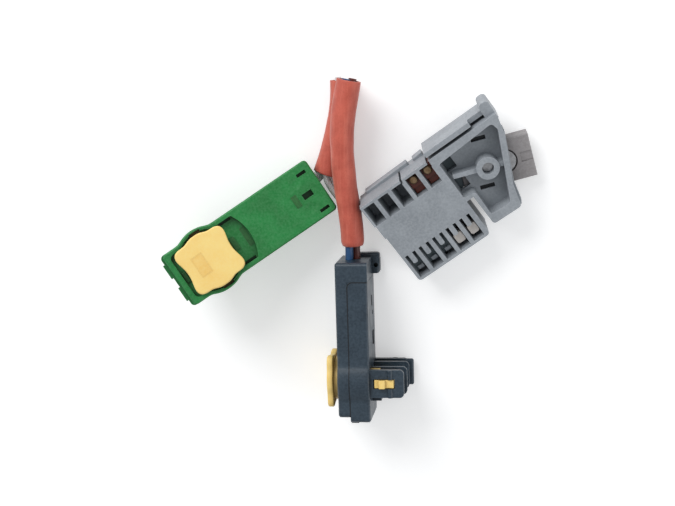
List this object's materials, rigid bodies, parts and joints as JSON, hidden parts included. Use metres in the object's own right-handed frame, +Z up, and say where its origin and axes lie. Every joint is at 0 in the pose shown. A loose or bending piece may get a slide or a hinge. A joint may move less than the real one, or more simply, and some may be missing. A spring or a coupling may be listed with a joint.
{
  "type": "connector wiring harness tail",
  "caption": "Cut harness tail: plugs with a quarter-turn lock knob and a grey multi-way block, on red-orange sleeved leads.",
  "frame": {"origin": "bottom centre of the box round the connectors as they lie, without the sleeves and leads", "axes": "+X runs from the green plug to the grey block's arm, +Y from the navy plug to the cut ends of the sleeves, +Z up from the surface that the set lies on"},
  "size_m": [0.112, 0.1036, 0.0264],
  "materials": {
    "green_plastic": "moulded satin green",
    "navy_plastic": "moulded satin navy-charcoal",
    "yellow_plastic": "moulded satin warm yellow",
    "grey_plastic": "moulded satin cool grey",
    "arm_plastic": "moulded matte warm grey",
    "brown_plastic": "moulded satin red-brown",
    "white_plastic": "moulded satin off-white",
    "steel": "dull zinc",
    "brass": "dull tinned brass",
    "sleeve_rubber": "soft orange-red sleeving",
    "blue_insulation": "glossy blue lead insulation",
    "brown_insulation": "glossy brown lead insulation",
    "white_insulation": "glossy white lead insulation"
  },
  "bodies": {
    "root": {"green_front_cover": "green_plastic", "green_rear_housing": "green_plastic", "green_contact_left": "brass", "green_contact_right": "brass", "navy_front_cover": "navy_plastic", "navy_rear_housing": "navy_plastic", "navy_contact_left": "brass", "navy_contact_right": "brass", "grey_housing": "grey_plastic", "arm": "arm_plastic", "arm_rivet": "steel", "arm_screw": "steel", "brown_insert_1": "brown_plastic", "brown_insert_2": "brown_plastic", "ferrule_1": "brass", "ferrule_2": "brass", "white_latch_1": "white_plastic", "white_latch_2": "white_plastic", "sleeve_navy": "sleeve_rubber", "sleeve_green": "sleeve_rubber", "blue_lead": "blue_insulation", "brown_lead": "brown_insulation", "white_lead_1": "white_insulation", "white_lead_2": "white_insulation", "white_lead_3": "white_insulation", "white_lead_4": "white_insulation"},
    "green_lock": {"green_lock_knob": "yellow_plastic", "green_lock_spindle": "yellow_plastic"},
    "green_bolt_left": {"green_lock_bolt_left": "yellow_plastic"},
    "green_bolt_right": {"green_lock_bolt_right": "yellow_plastic"},
    "navy_lock": {"navy_lock_knob": "yellow_plastic", "navy_lock_spindle": "yellow_plastic"},
    "navy_bolt_left": {"navy_lock_bolt_left": "yellow_plastic"},
    "navy_bolt_right": {"navy_lock_bolt_right": "yellow_plastic"}
  },
  "joints": [
    {"name": "green_knob_turn", "type": "hinge", "parent": "root", "child": "green_lock", "pos_m": [-0.04058, 0.0001, 0.0174], "axis": [0.2362, 0.1623, 0.958], "range_deg": [0, 90]},
    {"name": "green_bolt_left_slide", "type": "slide", "parent": "root", "child": "green_bolt_left", "axis": [0.5664, -0.8241, 0], "range_m": [0, 0.0014]},
    {"name": "green_bolt_right_slide", "type": "slide", "parent": "root", "child": "green_bolt_right", "axis": [-0.5664, 0.8241, 0], "range_m": [0, 0.0014]},
    {"name": "navy_knob_turn", "type": "hinge", "parent": "root", "child": "navy_lock", "pos_m": [0.00184, -0.03669, 0.0103], "axis": [-0.9994, -0.0349, 0], "range_deg": [0, 90]},
    {"name": "navy_bolt_left_slide", "type": "slide", "parent": "root", "child": "navy_bolt_left", "axis": [-0.0014, 0.0397, 0.9992], "range_m": [0, 0.0014]},
    {"name": "navy_bolt_right_slide", "type": "slide", "parent": "root", "child": "navy_bolt_right", "axis": [0.0014, -0.0397, -0.9992], "range_m": [0, 0.0014]}
  ],
  "couplings": [
    {"joint": "green_knob_turn", "follows": "green_bolt_right_slide", "rad_per_m": 1122},
    {"joint": "green_bolt_left_slide", "follows": "green_bolt_right_slide", "ratio": 1},
    {"joint": "navy_knob_turn", "follows": "navy_bolt_right_slide", "rad_per_m": 1122},
    {"joint": "navy_bolt_left_slide", "follows": "navy_bolt_right_slide", "ratio": 1}
  ]
}
